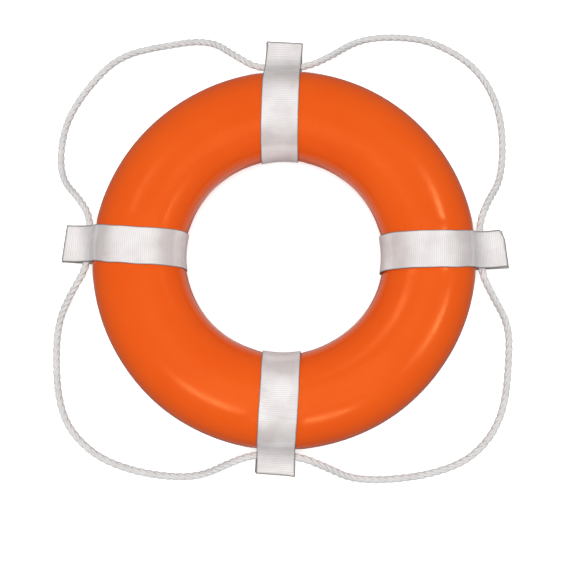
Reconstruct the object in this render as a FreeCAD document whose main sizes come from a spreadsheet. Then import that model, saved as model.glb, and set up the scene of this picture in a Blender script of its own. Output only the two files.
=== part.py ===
"""Ring lifebuoy: a 20 inch throwable ring with a grab line held by four webbing beckets.

The ring lies flat. Its axis is +Z, the floor is z = 0, and the origin is on the axis at the
floor. Azimuths are measured round +Z from +X. Every becket is drawn in its own frame, with
+X pointing out along its azimuth, and is then turned into place.
"""

import FreeCAD, Part
import math
import os

import Sketcher
from FreeCAD import Vector

os.makedirs("parts", exist_ok=True)
doc = FreeCAD.newDocument("ring_lifebuoy")

# ---------------------------------------------------------------- driving dimensions
DIMENSIONS = {
    "ring_diameter": 508,       # 20 in outside
    "hole_diameter": 262,
    "ring_thickness": 89,       # 3.5 in
    "skin_thickness": 1.5,
    "cement_thickness": 0.5,
    "band_width": 50,           # 2 in webbing
    "band_thickness": 1.6,
    "band_gap": 0.3,            # between a becket and the ring
    "tunnel_depth": 16,         # from the ring's rim to the tip of the space for the rope
    "azimuth_right": 1.5,
    "azimuth_top": 90.8,
    "azimuth_left": 177,
    "azimuth_bottom": 268.2,
    "tab_right": 41,            # from the ring's rim to the tab's end
    "tab_top": 42,
    "tab_left": 40,
    "tab_bottom": 35,
    "thread_diameter": 0.8,
    "thread_clearance": 0.1,
    "seam_inset": 3,            # from the tunnel's tip, and from the tab's end
    "seam_width": 42,
    "stitch_count": 7,
    "rope_diameter": 9.5,       # 3/8 in
    "seizing_diameter": 12,
    "seizing_bore": 9.8,
    "seizing_length": 28,
    "seizing_distance": 260.5,  # from the ring's axis to the rope inside the bottom becket
}

sheet = doc.addObject("Spreadsheet::Sheet", "Sizes")
for row, (name, number) in enumerate(DIMENSIONS.items(), start=1):
    sheet.set(f"A{row}", name)
    sheet.set(f"B{row}", str(number))
    sheet.setAlias(f"B{row}", name)
doc.recompute()

# Distances that several pieces share, as expressions on the sheet.
HALF_HEIGHT = "Sizes.ring_thickness / 2"
MID_HEIGHT = "(Sizes.ring_thickness / 2 + Sizes.band_gap + Sizes.band_thickness)"
INNER_CENTRE = "(Sizes.hole_diameter / 2 + Sizes.ring_thickness / 2)"
OUTER_CENTRE = "(Sizes.ring_diameter / 2 - Sizes.ring_thickness / 2)"
TUNNEL_TIP = "(Sizes.ring_diameter / 2 + Sizes.tunnel_depth)"

sizes = {name: float(sheet.get(name)) for name in DIMENSIONS}
half_height = sizes["ring_thickness"] / 2
mid_height = half_height + sizes["band_gap"] + sizes["band_thickness"]
inner_centre = sizes["hole_diameter"] / 2 + half_height
outer_centre = sizes["ring_diameter"] / 2 - half_height
tunnel_tip = sizes["ring_diameter"] / 2 + sizes["tunnel_depth"]


# ---------------------------------------------------------------- drawing helpers
def new_body(name):
    """A PartDesign body whose label is its node's name, standing at the ring's mid-height."""
    body = doc.addObject("PartDesign::Body", name)
    body.Label = name
    body.setExpression("Placement.Base.z", MID_HEIGHT)
    return body


def new_sketch(body, name, role):
    """A sketch lying on the origin plane of this body that has the given role."""
    sketch = body.newObject("Sketcher::SketchObject", name)
    planes = [plane for plane in body.Origin.OriginFeatures if plane.Role == role]
    sketch.AttachmentSupport = (planes[0], [""])
    sketch.MapMode = "FlatFace"
    return sketch


def line(start, end):
    return Part.LineSegment(Vector(*start, 0), Vector(*end, 0))


def arc(centre, radius, start_degrees, end_degrees):
    """An arc of a circle, drawn anticlockwise from the first angle to the second."""
    circle = Part.Circle(Vector(*centre, 0), Vector(0, 0, 1), radius)
    return Part.ArcOfCircle(circle, math.radians(start_degrees), math.radians(end_degrees))


def draw_loop(sketch, pieces):
    """Draw a closed anticlockwise loop of (curve, join), and return the curves' numbers.

    The join tells how a curve meets the next one: "Tangent" or "Coincident". A line and an
    arc both run from their point 1 to their point 2.
    """
    numbers = [sketch.addGeometry(curve, False) for curve, _ in pieces]
    for place, (_, join) in enumerate(pieces):
        following = numbers[(place + 1) % len(numbers)]
        sketch.addConstraint(Sketcher.Constraint(join, numbers[place], 2, following, 1))
    return numbers


def dimension(sketch, kind, where, expression):
    """Add a dimension to a sketch and bind it to an expression on the sheet.

    It starts at the size that the drawing already has, so that the solver only confirms it.
    """
    number = sketch.addConstraint(Sketcher.Constraint(kind, *where, value_of(expression)))
    sketch.setExpression(f"Constraints[{number}]", expression)


def value_of(expression):
    """What an expression on the sheet is worth now."""
    return float(sheet.evalExpression(expression))


def rectangle(sketch, left, right, half_width):
    """A rectangle between two distances along the sketch's X axis, centred on that axis."""
    low, high = value_of(left), value_of(right)
    half = value_of(half_width)
    numbers = draw_loop(sketch, [
        (line((low, -half), (high, -half)), "Coincident"),
        (line((high, -half), (high, half)), "Coincident"),
        (line((high, half), (low, half)), "Coincident"),
        (line((low, half), (low, -half)), "Coincident"),
    ])
    bottom, end, top, start = numbers
    for number in (bottom, top):
        sketch.addConstraint(Sketcher.Constraint("Horizontal", number))
    for number in (end, start):
        sketch.addConstraint(Sketcher.Constraint("Vertical", number))
    dimension(sketch, "DistanceX", (-1, 1, bottom, 1), left)
    dimension(sketch, "DistanceX", (-1, 1, bottom, 2), right)
    dimension(sketch, "DistanceY", (bottom, 1, -1, 1), half_width)
    dimension(sketch, "DistanceY", (-1, 1, top, 1), half_width)


def pin_round_ends(sketch, outer_arcs, inner_arcs, radius):
    """Put the round ends of a section on the mid-plane, all with one radius."""
    for number in outer_arcs + inner_arcs:
        sketch.addConstraint(Sketcher.Constraint("PointOnObject", number, 3, -1))
    for number in outer_arcs[1:] + inner_arcs:
        sketch.addConstraint(Sketcher.Constraint("Equal", outer_arcs[0], number))
    for number in outer_arcs:
        dimension(sketch, "DistanceX", (-1, 1, number, 3), OUTER_CENTRE)
    dimension(sketch, "DistanceX", (-1, 1, inner_arcs[0], 3), INNER_CENTRE)
    dimension(sketch, "Radius", (outer_arcs[0],), radius)


def draw_ring_section(sketch, radius):
    """The whole section of the ring: two round ends joined by flats, at the given radius."""
    size = value_of(radius)
    numbers = draw_loop(sketch, [
        (line((inner_centre, -size), (outer_centre, -size)), "Tangent"),
        (arc((outer_centre, 0), size, -90, 90), "Tangent"),
        (line((outer_centre, size), (inner_centre, size)), "Tangent"),
        (arc((inner_centre, 0), size, 90, 270), "Tangent"),
    ])
    pin_round_ends(sketch, [numbers[1]], [numbers[3]], radius)


def draw_half_section(sketch, radius, cut):
    """The part of the ring's section above a cut a little over the mid-plane."""
    size, low = value_of(radius), value_of(cut)
    angle = math.degrees(math.asin(low / size))
    reach = size * math.cos(math.radians(angle))
    numbers = draw_loop(sketch, [
        (line((inner_centre - reach, low), (outer_centre + reach, low)), "Coincident"),
        (arc((outer_centre, 0), size, angle, 90), "Tangent"),
        (line((outer_centre, size), (inner_centre, size)), "Tangent"),
        (arc((inner_centre, 0), size, 90, 180 - angle), "Coincident"),
    ])
    sketch.addConstraint(Sketcher.Constraint("Horizontal", numbers[0]))
    pin_round_ends(sketch, [numbers[1]], [numbers[3]], radius)
    dimension(sketch, "DistanceY", (-1, 1, numbers[0], 1), cut)


def revolve(body, sketch, angle=360.0):
    """Revolve a section about the ring's axis, spread evenly to both sides of its plane."""
    turned = body.newObject("PartDesign::Revolution", body.Name + "_turned")
    turned.Profile = sketch
    turned.ReferenceAxis = (sketch, ["V_Axis"])
    turned.Angle = angle
    turned.Midplane = True
    sketch.Visibility = False
    return turned


# ---------------------------------------------------------------- ring
def make_skin():
    """The vinyl coating, a closed hollow ring."""
    body = new_body("vinyl_skin")
    sketch = new_sketch(body, "skin_section", "XZ_Plane")
    draw_ring_section(sketch, HALF_HEIGHT)
    draw_ring_section(sketch, f"{HALF_HEIGHT} - Sizes.skin_thickness")
    revolve(body, sketch)
    return body


def make_core_half(name, turned_over):
    """One half of the foam core. The back half is the front half turned over."""
    body = new_body(name)
    sketch = new_sketch(body, name + "_section", "XZ_Plane")
    radius = f"{HALF_HEIGHT} - Sizes.skin_thickness"
    draw_half_section(sketch, radius, "Sizes.cement_thickness / 2")
    revolve(body, sketch)
    if turned_over:
        body.Placement = FreeCAD.Placement(Vector(0, 0, 0), Vector(1, 0, 0), 180)
    return body


def make_cement():
    """The film of cement between the two halves of the core, stopping short of the skin."""
    body = new_body("core_cement_film")
    sketch = new_sketch(body, "film_outline", "XY_Plane")
    edges = (
        "Sizes.ring_diameter / 2 - Sizes.skin_thickness - Sizes.cement_thickness / 4",
        "Sizes.hole_diameter / 2 + Sizes.skin_thickness + Sizes.cement_thickness / 4",
    )
    for edge in edges:
        circle = Part.Circle(Vector(0, 0, 0), Vector(0, 0, 1), value_of(edge))
        number = sketch.addGeometry(circle, False)
        sketch.addConstraint(Sketcher.Constraint("Coincident", number, 3, -1, 1))
        dimension(sketch, "Radius", (number,), edge)
    film = body.newObject("PartDesign::Pad", "film")
    film.Profile = sketch
    film.Midplane = True
    film.setExpression("Length", "Sizes.cement_thickness")
    return body


# ---------------------------------------------------------------- beckets
SEAM_START = f"({TUNNEL_TIP} + Sizes.seam_inset)"


def seam_end(side):
    return f"(Sizes.ring_diameter / 2 + Sizes.tab_{side} - Sizes.seam_inset)"


def draw_band_section(sketch, side):
    """The webbing's section: once round the ring, out past the rope, and a two-layer tab.

    Outside the ring both layers leave it along a tangent and meet at the tunnel's tip.
    """
    thickness = sizes["band_thickness"]
    inner = half_height + sizes["band_gap"]
    outer = inner + thickness
    lean = math.degrees(math.acos(inner / (tunnel_tip - outer_centre)))
    cosine, sine = math.cos(math.radians(lean)), math.sin(math.radians(lean))
    end = sizes["ring_diameter"] / 2 + sizes["tab_" + side]
    bend = tunnel_tip + thickness * (1 - sine) / cosine
    shoulder = (outer_centre + outer * cosine, outer * sine)
    touch = (outer_centre + inner * cosine, inner * sine)

    outside = draw_loop(sketch, [
        (line((end, -thickness), (end, thickness)), "Coincident"),
        (line((end, thickness), (bend, thickness)), "Coincident"),
        (line((bend, thickness), shoulder), "Tangent"),
        (arc((outer_centre, 0), outer, lean, 90), "Tangent"),
        (line((outer_centre, outer), (inner_centre, outer)), "Tangent"),
        (arc((inner_centre, 0), outer, 90, 270), "Tangent"),
        (line((inner_centre, -outer), (outer_centre, -outer)), "Tangent"),
        (arc((outer_centre, 0), outer, 270, 360 - lean), "Tangent"),
        (line((shoulder[0], -shoulder[1]), (bend, -thickness)), "Coincident"),
        (line((bend, -thickness), (end, -thickness)), "Coincident"),
    ])
    inside = draw_loop(sketch, [
        (line((tunnel_tip, 0), touch), "Tangent"),
        (arc((outer_centre, 0), inner, lean, 90), "Tangent"),
        (line((outer_centre, inner), (inner_centre, inner)), "Tangent"),
        (arc((inner_centre, 0), inner, 90, 270), "Tangent"),
        (line((inner_centre, -inner), (outer_centre, -inner)), "Tangent"),
        (arc((outer_centre, 0), inner, 270, 360 - lean), "Tangent"),
        (line((touch[0], -touch[1]), (tunnel_tip, 0)), "Coincident"),
    ])
    inner_size = f"({HALF_HEIGHT} + Sizes.band_gap)"
    pin_round_ends(sketch, [outside[3], outside[7]], [outside[5]],
                   f"{inner_size} + Sizes.band_thickness")
    pin_round_ends(sketch, [inside[1], inside[5]], [inside[3]], inner_size)
    sketch.addConstraint(Sketcher.Constraint("Vertical", outside[0]))
    sketch.addConstraint(Sketcher.Constraint("Horizontal", outside[1]))
    sketch.addConstraint(Sketcher.Constraint("Horizontal", outside[9]))
    sketch.addConstraint(Sketcher.Constraint("Parallel", outside[2], inside[0]))
    sketch.addConstraint(Sketcher.Constraint("Parallel", outside[8], inside[6]))
    dimension(sketch, "DistanceX", (-1, 1, outside[0], 1),
              f"Sizes.ring_diameter / 2 + Sizes.tab_{side}")
    dimension(sketch, "DistanceY", (outside[0], 1, -1, 1), "Sizes.band_thickness")
    dimension(sketch, "DistanceY", (-1, 1, outside[0], 2), "Sizes.band_thickness")
    sketch.addConstraint(Sketcher.Constraint("PointOnObject", inside[0], 1, -1))
    dimension(sketch, "DistanceX", (-1, 1, inside[0], 1), TUNNEL_TIP)


def draw_stitches(sketch, side, diameter):
    """A circle at every stitch of the seam's two long rows."""
    span = "(Sizes.seam_width - Sizes.thread_diameter)"
    rows = (
        f"{SEAM_START} + Sizes.thread_diameter / 2",
        f"{seam_end(side)} - Sizes.thread_diameter / 2",
    )
    for row in rows:
        for stitch in range(int(sizes["stitch_count"])):
            place = f"{span} * ({stitch} / (Sizes.stitch_count - 1) - 0.5)"
            centre = Vector(value_of(row), value_of(place), 0)
            circle = Part.Circle(centre, Vector(0, 0, 1), value_of(diameter) / 2)
            number = sketch.addGeometry(circle, False)
            dimension(sketch, "Diameter", (number,), diameter)
            dimension(sketch, "DistanceX", (-1, 1, number, 3), row)
            dimension(sketch, "DistanceY", (-1, 1, number, 3), place)


def make_band(side):
    """One becket: webbing round the ring and the rope, its two ends laid together as a tab."""
    body = new_body("becket_band_" + side)
    body.Placement.Rotation = FreeCAD.Rotation(Vector(0, 0, 1), sizes["azimuth_" + side])
    body.setExpression("Placement.Rotation.Angle", f"Sizes.azimuth_{side} * 1deg")
    section = new_sketch(body, "section_" + side, "XZ_Plane")
    draw_band_section(section, side)
    # Wide enough to reach past the webbing's edges even at the hole.
    revolve(body, section, angle=28.0)

    # Everything outside the webbing's straight edges is cut away.
    waste = new_sketch(body, "edges_" + side, "XY_Plane")
    rectangle(waste, "Sizes.hole_diameter / 4", "Sizes.ring_diameter", "Sizes.ring_diameter / 4")
    rectangle(waste, "Sizes.hole_diameter / 3", f"Sizes.ring_diameter / 2 + Sizes.tab_{side}",
              "Sizes.band_width / 2")
    trimmed = body.newObject("PartDesign::Pocket", "trimmed_" + side)
    trimmed.Profile = waste
    trimmed.Type = "ThroughAll"
    trimmed.Midplane = True

    holes = new_sketch(body, "needle_holes_" + side, "XY_Plane")
    draw_stitches(holes, side, "Sizes.thread_diameter + 2 * Sizes.thread_clearance")
    pierced = body.newObject("PartDesign::Pocket", "pierced_" + side)
    pierced.Profile = holes
    pierced.Midplane = True
    pierced.setExpression("Length", "4 * Sizes.band_thickness")
    return body


def make_seam(side):
    """The thread of one tab: a box of stitches on both faces, joined through the webbing."""
    body = new_body("becket_seam_" + side)
    body.Placement.Rotation = FreeCAD.Rotation(Vector(0, 0, 1), sizes["azimuth_" + side])
    body.setExpression("Placement.Rotation.Angle", f"Sizes.azimuth_{side} * 1deg")

    box = new_sketch(body, "box_" + side, "XY_Plane")
    rectangle(box, SEAM_START, seam_end(side), "Sizes.seam_width / 2")
    rectangle(box, f"{SEAM_START} + Sizes.thread_diameter",
              f"{seam_end(side)} - Sizes.thread_diameter",
              "Sizes.seam_width / 2 - Sizes.thread_diameter")
    block = body.newObject("PartDesign::Pad", "thread_block_" + side)
    block.Profile = box
    block.Midplane = True
    block.setExpression("Length", "2 * (Sizes.band_thickness + Sizes.thread_diameter)")

    # The webbing's own space is taken out between the two faces, all but the stitches, which
    # join the upper loop of thread to the lower one.
    legs = new_sketch(body, "legs_" + side, "XY_Plane")
    rectangle(legs, SEAM_START + " - Sizes.seam_inset", seam_end(side) + " + Sizes.seam_inset",
              "Sizes.band_width / 2")
    draw_stitches(legs, side, "Sizes.thread_diameter")
    cleared = body.newObject("PartDesign::Pocket", "cleared_" + side)
    cleared.Profile = legs
    cleared.Midplane = True
    cleared.setExpression("Length", "2 * Sizes.band_thickness")
    return body


# ---------------------------------------------------------------- grab line
MID = mid_height
LOW = sizes["rope_diameter"] / 2 + 0.25     # the rope's centre where it lies on the floor

# The route, by hand: from its butt inside the bottom becket anticlockwise through the right,
# top and left beckets and back. It leaves each becket along the rim, comes down to the floor
# and lies there in a loose loop.
ROUTE = [
    (-7.7, -260.4, MID), (18.8, -261.2, MID), (52, -274, 38), (95, -295, LOW),
    (173, -291, LOW), (236, -273, LOW), (273, -241, LOW), (294, -199, LOW),
    (302, -140, LOW), (304, -89, LOW), (275, -50, 37), (260.5, -22, MID),
    (259, 36, MID), (272, 70, 38), (303, 116, LOW), (305, 209, LOW),
    (274, 275, LOW), (213, 315, LOW), (156, 323, LOW), (104, 318, LOW),
    (58, 277, 37), (25, 260, MID), (-35, 259.2, MID), (-66, 281, 38),
    (-108, 320, LOW), (-178, 310, LOW), (-228, 298, LOW), (-260, 274, LOW),
    (-298, 223, LOW), (-315, 176, LOW), (-314, 116, LOW), (-276, 77, 37),
    (-257.7, 46.5, MID), (-261, -16, MID), (-280, -44, 39), (-309, -86, LOW),
    (-308, -156, LOW), (-299, -205, LOW), (-281, -237, LOW), (-246, -267, LOW),
    (-199, -284, LOW), (-150, -291.5, LOW), (-108, -290, LOW), (-66, -270, 36.5),
    (-35.7, -259.5, MID), (-8.7, -260.4, MID),
]
ARC_SHARE = 0.45                            # of the shorter run that an arc may take


def route_edges(route):
    """Straight runs joined by tangent arcs, and the radius of every arc."""
    points = [Vector(*point) for point in route]
    edges, radii = [], []
    start = points[0]
    for before, corner, after in zip(points, points[1:], points[2:]):
        inward = (before - corner).normalize()
        onward = (after - corner).normalize()
        shorter = min(before.distanceToPoint(corner), after.distanceToPoint(corner))
        reach = ARC_SHARE * shorter
        turn = math.pi - inward.getAngle(onward)
        radius = reach / math.tan(turn / 2)
        entry, leave = corner + inward * reach, corner + onward * reach
        middle = (inward + onward).normalize()
        apex = corner + middle * (radius / math.cos(turn / 2) - radius)
        edges.append(Part.LineSegment(start, entry).toShape())
        edges.append(Part.Arc(entry, apex, leave).toShape())
        radii.append(radius)
        start = leave
    edges.append(Part.LineSegment(start, points[-1]).toShape())
    return edges, radii


def make_grab_line():
    """The rope, a round tube along its route."""
    edges, radii = route_edges(ROUTE)
    path = Part.Wire(edges)
    start = Vector(*ROUTE[0])
    heading = Vector(*ROUTE[1]) - start
    rope_radius = sizes["rope_diameter"] / 2
    section = Part.Wire(Part.Circle(start, heading, rope_radius).toShape())
    tube = path.makePipeShell([section], True, False)
    rope = doc.addObject("Part::Feature", "grab_line")
    rope.Label = "grab_line"
    rope.Shape = tube
    expected = math.pi * rope_radius**2 * path.Length
    print(f"grab line length {path.Length:.0f} mm")
    print("arc radii", " ".join(f"{radius:.0f}" for radius in radii))
    print(f"tube volume over section times length {rope.Shape.Volume / expected:.4f}")
    if abs(rope.Shape.Volume / expected - 1) > 0.01:
        raise RuntimeError("the grab line's volume is not its section times its length")
    return rope


def make_seizing():
    """Twine wrapped round the rope's butted ends, drawn as a plain tube."""
    body = new_body("rope_seizing")
    body.Placement.Rotation = FreeCAD.Rotation(Vector(0, 0, 1), sizes["azimuth_bottom"])
    body.setExpression("Placement.Rotation.Angle", "Sizes.azimuth_bottom * 1deg")
    sketch = new_sketch(body, "seizing_section", "XZ_Plane")
    for diameter in ("Sizes.seizing_diameter", "Sizes.seizing_bore"):
        centre = Vector(sizes["seizing_distance"], 0, 0)
        circle = Part.Circle(centre, Vector(0, 0, 1), value_of(diameter) / 2)
        number = sketch.addGeometry(circle, False)
        sketch.addConstraint(Sketcher.Constraint("PointOnObject", number, 3, -1))
        dimension(sketch, "DistanceX", (-1, 1, number, 3), "Sizes.seizing_distance")
        dimension(sketch, "Diameter", (number,), diameter)
    wrap = body.newObject("PartDesign::Pad", "wrap")
    wrap.Profile = sketch
    wrap.Midplane = True
    wrap.setExpression("Length", "Sizes.seizing_length")
    return body


# ---------------------------------------------------------------- the whole lifebuoy
def check_and_write(nodes):
    """Stop if anything failed to compute, and then write each node to its own file."""
    doc.recompute()
    for thing in doc.Objects:
        if {"Invalid", "Error"} & set(thing.State):
            raise RuntimeError(f"{thing.Label} did not compute: {thing.State}")
    for node in nodes:
        shape = node.Shape
        if shape.isNull() or not shape.isValid() or not shape.Solids:
            raise RuntimeError(f"{node.Label} is not a valid solid")
        print(f"{node.Label}: {shape.Volume / 1000:.2f} cm3, {len(shape.Solids)} solid(s)")
        shape.exportStep(f"parts/{node.Label}.step")


SIDES = ("right", "top", "left", "bottom")
nodes = [make_skin(), make_core_half("foam_core_front", False),
         make_core_half("foam_core_back", True), make_cement()]
nodes += [make_band(side) for side in SIDES]
nodes += [make_seam(side) for side in SIDES]
nodes += [make_grab_line(), make_seizing()]
check_and_write(nodes)
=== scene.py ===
"""Ring lifebuoy: a vinyl-dipped foam ring, four webbing beckets and a three-strand grab line.

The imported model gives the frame. The ring lies flat with its axis along +Z and the floor at
z = 0. Lengths are in metres, and small ones are written in millimetres times MM.
"""

import logging
import math
from dataclasses import dataclass, field
from enum import Enum

import bpy
from mathutils import Matrix, Vector, noise


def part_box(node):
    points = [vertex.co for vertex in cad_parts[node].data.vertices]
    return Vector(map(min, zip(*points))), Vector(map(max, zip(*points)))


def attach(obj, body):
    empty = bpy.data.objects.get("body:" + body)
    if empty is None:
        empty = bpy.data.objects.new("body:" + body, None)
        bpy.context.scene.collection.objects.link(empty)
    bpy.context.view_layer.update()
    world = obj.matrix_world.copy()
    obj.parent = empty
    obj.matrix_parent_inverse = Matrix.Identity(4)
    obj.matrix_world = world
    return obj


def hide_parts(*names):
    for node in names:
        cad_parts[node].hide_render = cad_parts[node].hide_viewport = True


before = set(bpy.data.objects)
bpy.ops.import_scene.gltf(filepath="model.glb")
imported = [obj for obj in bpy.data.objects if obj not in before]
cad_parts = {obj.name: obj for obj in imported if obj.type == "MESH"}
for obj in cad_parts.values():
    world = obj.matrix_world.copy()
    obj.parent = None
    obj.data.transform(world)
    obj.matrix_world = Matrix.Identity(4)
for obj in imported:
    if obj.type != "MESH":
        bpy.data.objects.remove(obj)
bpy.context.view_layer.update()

BODY = "root"
MM = 0.001
TURN = 2 * math.pi

log = logging.getLogger("lifebuoy")


# ------------------------------------------------------------------ small helpers
def linear(hex_colour: str, alpha: float = 1.0) -> tuple[float, float, float, float]:
    """Turn an sRGB hex colour into linear light.

    Args:
        hex_colour: a colour such as "#F06121".
        alpha: the fourth channel.

    Returns:
        Red, green, blue and alpha, each from 0 to 1.
    """
    channels = []
    for start in (1, 3, 5):
        value = int(hex_colour[start:start + 2], 16) / 255
        channels.append(value / 12.92 if value <= 0.04045 else ((value + 0.055) / 1.055) ** 2.4)
    return (*channels, alpha)


def smooth_step(low: float, high: float, value: float) -> float:
    """Rise smoothly from 0 at low to 1 at high."""
    share = min(max((value - low) / (high - low), 0.0), 1.0)
    return share * share * (3 - 2 * share)


def add_node(tree: bpy.types.NodeTree, kind: str, inputs: dict | None = None,
             **settings) -> bpy.types.Node:
    """Add one node to a tree, with its settings and what feeds its inputs.

    Args:
        tree: a shader or geometry node tree.
        kind: the node's type name.
        inputs: input name or number, to a value or to another node's output socket.
        **settings: the node's own properties.

    Returns:
        The new node.
    """
    node = tree.nodes.new(kind)
    for name, value in settings.items():
        setattr(node, name, value)
    for name, value in (inputs or {}).items():
        if isinstance(value, bpy.types.NodeSocket):
            tree.links.new(value, node.inputs[name])
        else:
            node.inputs[name].default_value = value
    return node


def mesh_object(name: str, vertices: list, faces: list,
                material: bpy.types.Material) -> bpy.types.Object:
    """Make a smooth-shaded mesh object at the origin and put it in the scene.

    Args:
        name: the object's and the mesh's name.
        vertices: points in metres.
        faces: vertex numbers, anticlockwise seen from outside.
        material: what it is made of.

    Returns:
        The new object.
    """
    mesh = bpy.data.meshes.new(name)
    mesh.from_pydata(vertices, [], faces)
    mesh.materials.append(material)
    mesh.shade_smooth()
    mesh.update()
    obj = bpy.data.objects.new(name, mesh)
    bpy.context.scene.collection.objects.link(obj)
    return obj


def bake_modifiers(obj: bpy.types.Object) -> bpy.types.Object:
    """Replace an object's mesh by its evaluated one, and take its modifiers off.

    Args:
        obj: a mesh object with live modifiers.

    Returns:
        The same object, now a plain mesh.
    """
    evaluated = obj.evaluated_get(bpy.context.evaluated_depsgraph_get())
    plain = bpy.data.meshes.new_from_object(evaluated)
    plain.name = obj.name
    obj.modifiers.clear()
    obj.data = plain
    return obj


def apply_tree(obj: bpy.types.Object, tree: bpy.types.NodeTree,
               values: dict[str, object]) -> bpy.types.Object:
    """Run a Geometry Nodes tree on an object and keep the result as its mesh.

    Args:
        obj: the object whose geometry goes in.
        tree: the tree, whose interface has the named inputs.
        values: input name to its value.

    Returns:
        The same object with its new mesh.
    """
    modifier = obj.modifiers.new(tree.name, "NODES")
    modifier.node_group = tree
    identifiers = {item.name: item.identifier for item in tree.interface.items_tree
                   if item.in_out == "INPUT"}
    for name, value in values.items():
        modifier[identifiers[name]] = value
    return bake_modifiers(obj)


def new_tree(name: str, inputs: dict[str, str]) -> tuple[bpy.types.NodeTree, bpy.types.Node]:
    """Start a Geometry Nodes tree with named inputs.

    Args:
        name: the tree's name.
        inputs: input name to its socket type.

    Returns:
        The tree and its Group Input node.
    """
    tree = bpy.data.node_groups.new(name, "GeometryNodeTree")
    tree.interface.new_socket("Geometry", in_out="INPUT", socket_type="NodeSocketGeometry")
    for label, socket in inputs.items():
        tree.interface.new_socket(label, in_out="INPUT", socket_type=socket)
    tree.interface.new_socket("Geometry", in_out="OUTPUT", socket_type="NodeSocketGeometry")
    return tree, add_node(tree, "NodeGroupInput")


def end_tree(tree: bpy.types.NodeTree, geometry: bpy.types.NodeSocket,
             material: bpy.types.NodeSocket) -> None:
    """Finish a tree: smooth shading, real geometry and its material.

    Args:
        tree: the tree to finish.
        geometry: what it has made.
        material: the Group Input's material socket.
    """
    smooth = add_node(tree, "GeometryNodeSetShadeSmooth", {"Geometry": geometry})
    real = add_node(tree, "GeometryNodeRealizeInstances", {"Geometry": smooth.outputs[0]})
    dressed = add_node(tree, "GeometryNodeSetMaterial",
                       {"Geometry": real.outputs[0], "Material": material})
    add_node(tree, "NodeGroupOutput", {0: dressed.outputs[0]})


def sweep_strand(tree: bpy.types.NodeTree, path: bpy.types.Node, walked: bpy.types.Node,
                 radius: bpy.types.NodeSocket, sides: int) -> bpy.types.NodeSocket:
    """Sweep a round strand along a curve, marked with how far along and around it is.

    Args:
        tree: a geometry tree.
        path: the node that gives the curve.
        walked: the Spline Parameter node that is read on the curve.
        radius: the strand's radius.
        sides: how many sides its round section has.

    Returns:
        The strand's geometry.
    """
    lined = add_node(tree, "GeometryNodeStoreNamedAttribute",
                     {"Geometry": path.outputs[0], "Name": "along",
                      "Value": walked.outputs["Length"]})
    section = add_node(tree, "GeometryNodeCurvePrimitiveCircle",
                       {"Resolution": sides, "Radius": radius})
    marked = add_node(tree, "GeometryNodeInputPosition")
    named = add_node(tree, "GeometryNodeStoreNamedAttribute",
                     {"Geometry": section.outputs[0], "Name": "around",
                      "Value": marked.outputs[0]}, data_type="FLOAT_VECTOR")
    return add_node(tree, "GeometryNodeCurveToMesh",
                    {"Curve": lined.outputs[0], "Profile Curve": named.outputs[0],
                     "Fill Caps": True}).outputs[0]


# ------------------------------------------------------------------ finishes
def new_material(name: str) -> tuple[bpy.types.Material, bpy.types.NodeTree, bpy.types.Node]:
    """Start a node material with an empty Principled shader.

    Args:
        name: the material's name.

    Returns:
        The material, its node tree and its shader node.
    """
    material = bpy.data.materials.new(name)
    material.use_nodes = True
    tree = material.node_tree
    tree.nodes.clear()
    shader = add_node(tree, "ShaderNodeBsdfPrincipled")
    add_node(tree, "ShaderNodeOutputMaterial", {"Surface": shader.outputs["BSDF"]})
    return material, tree, shader


@dataclass(frozen=True)
class DippedVinyl:
    """Plastisol vinyl, dipped on the foam: a thick, wet-looking orange coat.

    It flows as it cures, so it is glossy with a faint orange peel, a little richer where it
    pooled, and handling leaves it slightly duller in patches.
    """

    colour: str = "#F4621B"
    pooled: str = "#EC5516"
    glint: str = "#FFC27C"
    roughness: tuple[float, float] = (0.14, 0.30)
    patch: float = 90 * MM
    peel: float = 3.2 * MM
    peel_depth: float = 0.05 * MM
    grit: float = 0.9 * MM
    grit_depth: float = 0.012 * MM

    def build(self) -> bpy.types.Material:
        """Make the node material.

        Returns:
            The material.
        """
        material, tree, shader = new_material("dipped_vinyl")
        place = add_node(tree, "ShaderNodeTexCoord").outputs["Object"]
        patches = add_node(tree, "ShaderNodeTexNoise",
                           {"Vector": place, "Scale": 1 / self.patch, "Detail": 3.0})
        tint = add_node(tree, "ShaderNodeMix",
                        {0: patches.outputs[0], 6: linear(self.colour),
                         7: linear(self.pooled)}, data_type="RGBA")
        handled = add_node(tree, "ShaderNodeTexNoise",
                           {"Vector": place, "Scale": 2.3 / self.patch, "Detail": 6.0,
                            "Roughness": 0.62})
        gloss = add_node(tree, "ShaderNodeMapRange",
                         {"Value": handled.outputs[0], "From Min": 0.2, "From Max": 0.8,
                          "To Min": self.roughness[0], "To Max": self.roughness[1]})
        turned = add_node(tree, "ShaderNodeMapping",
                          {"Vector": place, "Rotation": (0.6, 0.35, 0.2)})
        peel = add_node(tree, "ShaderNodeTexNoise",
                        {"Vector": turned.outputs[0], "Scale": 1 / self.peel, "Detail": 1.0})
        grit = add_node(tree, "ShaderNodeTexNoise",
                        {"Vector": turned.outputs[0], "Scale": 1 / self.grit,
                         "Detail": 2.0})
        fine = add_node(tree, "ShaderNodeBump",
                        {"Height": grit.outputs[0], "Distance": self.grit_depth})
        bump = add_node(tree, "ShaderNodeBump",
                        {"Height": peel.outputs[0], "Distance": self.peel_depth,
                         "Normal": fine.outputs[0]})
        tree.links.new(tint.outputs[2], shader.inputs["Base Color"])
        tree.links.new(gloss.outputs[0], shader.inputs["Roughness"])
        tree.links.new(bump.outputs[0], shader.inputs["Normal"])
        shader.inputs["IOR"].default_value = 1.53
        shader.inputs["Specular Tint"].default_value = linear(self.glint)
        return material


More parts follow.
